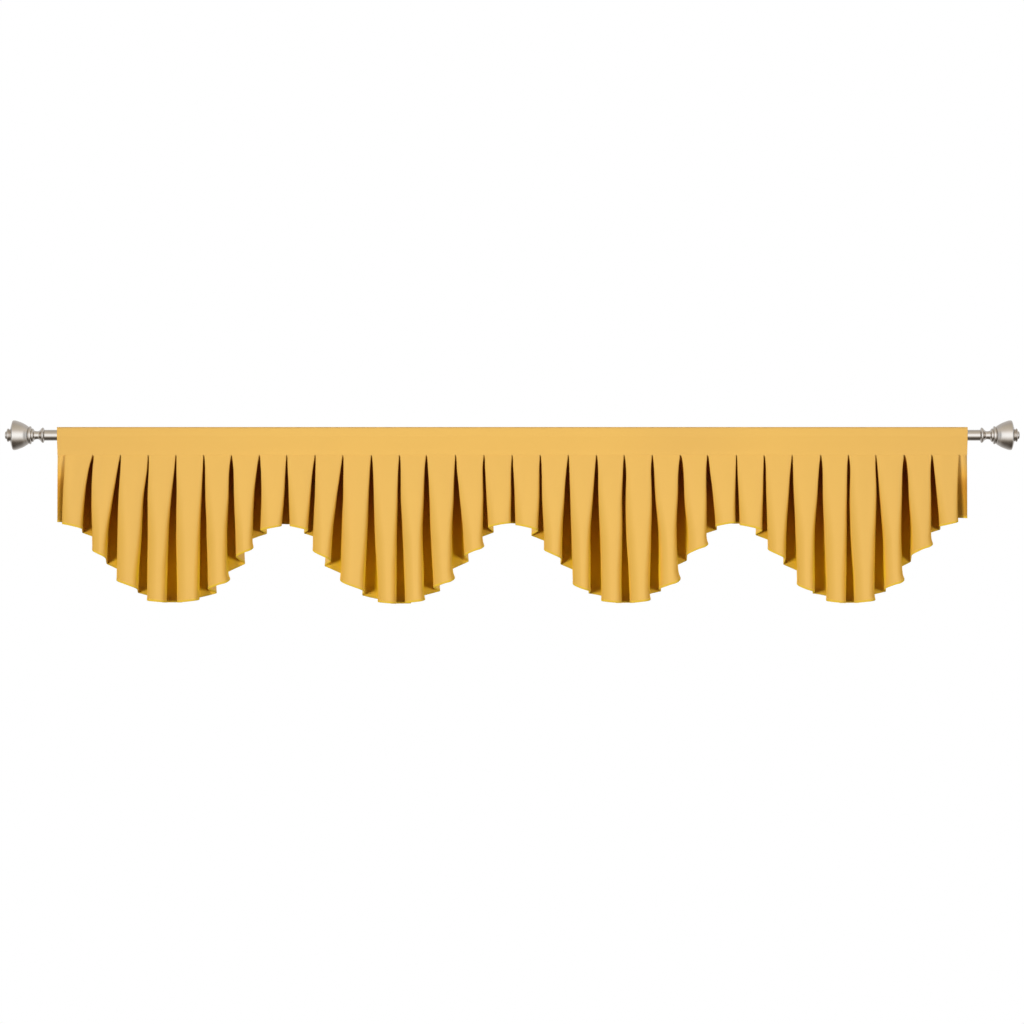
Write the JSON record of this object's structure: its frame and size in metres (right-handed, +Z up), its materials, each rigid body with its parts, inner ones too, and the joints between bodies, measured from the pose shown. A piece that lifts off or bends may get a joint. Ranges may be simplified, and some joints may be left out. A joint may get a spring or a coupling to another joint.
{
  "type": "window valance on a curtain rod",
  "caption": "Scalloped box-pleated window valance with a plain rod pocket, hung on a metal curtain rod with turned trumpet finials.",
  "frame": {"origin": "on the axis of the curtain rod, at the middle of its length", "axes": "+X along the rod, +Z up, -Y the side that faces the room, +Y towards the wall and window"},
  "size_m": [2.638, 0.0774, 0.4771],
  "materials": {
    "heading_band": "matt golden yellow woven cloth",
    "pleated_skirt": "matt golden yellow woven cloth",
    "rod": "brushed nickel",
    "finial_left": "brushed nickel",
    "finial_right": "brushed nickel"
  },
  "bodies": {
    "root": {"heading_band": "heading_band", "pleated_skirt": "pleated_skirt", "rod": "rod", "finial_left": "finial_left", "finial_right": "finial_right"}
  },
  "joints": []
}
